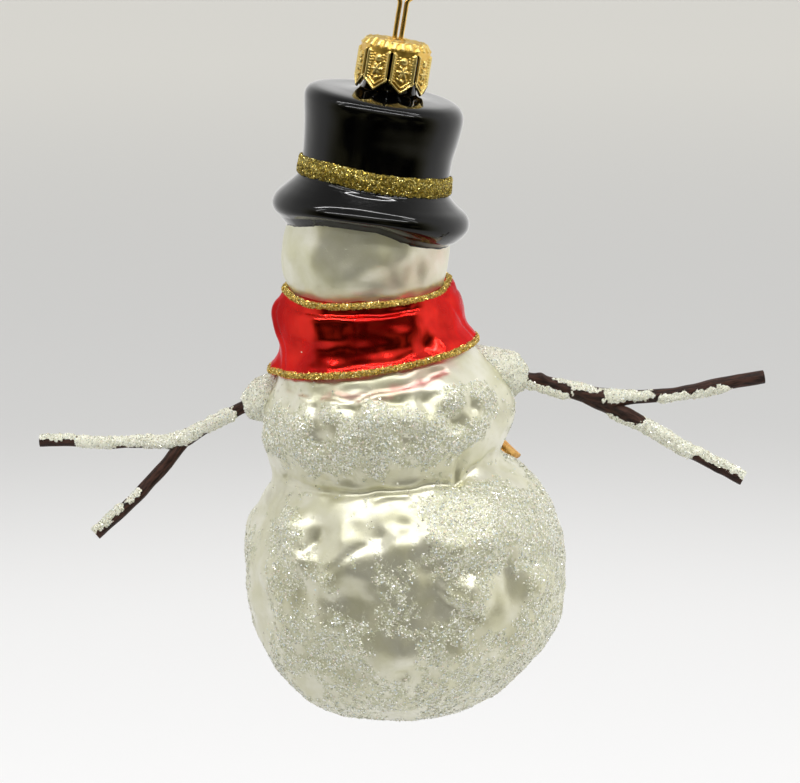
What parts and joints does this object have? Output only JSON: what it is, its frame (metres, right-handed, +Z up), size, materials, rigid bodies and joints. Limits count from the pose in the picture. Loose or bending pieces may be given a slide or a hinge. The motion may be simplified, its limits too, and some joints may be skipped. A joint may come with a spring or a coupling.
{
  "type": "glass snowman ornament",
  "caption": "Hanging mould-blown glass snowman with a top hat, a scarf, twig arms set in snow paste, a stamped crown cap and a wire eye",
  "frame": {"origin": "the point the ornament hangs from, at the top of the inside of the wire eye", "axes": "+Z up, -Y the way the snowman faces, +X the snowman's left"},
  "size_m": [0.1399, 0.0595, 0.1443],
  "materials": {
    "pearl_lacquer": "silvered glass under satin pearl lacquer",
    "red_lustre": "silvered glass under clear red lustre",
    "black_enamel": "gloss black enamel on glass",
    "coal_paint": "gloss black paint",
    "carrot_paint": "gloss orange paint",
    "gold_glitter": "coarse gold glitter",
    "snow_glitter": "iridescent white glitter",
    "gold_cap": "stamped, gold-coloured",
    "gold_wire": "drawn, gold-coloured",
    "snow_paste": "matt paste rolled in glitter",
    "twig_bark": "smooth dark bark"
  },
  "bodies": {
    "root": {"glass_figure": "pearl_lacquer", "cap": "gold_cap", "hanging_wire": "gold_wire", "left_shoulder_snow": "snow_paste", "right_shoulder_snow": "snow_paste", "left_arm": "twig_bark", "left_arm_branch": "twig_bark", "right_arm": "twig_bark", "right_arm_branch": "twig_bark"}
  },
  "joints": []
}
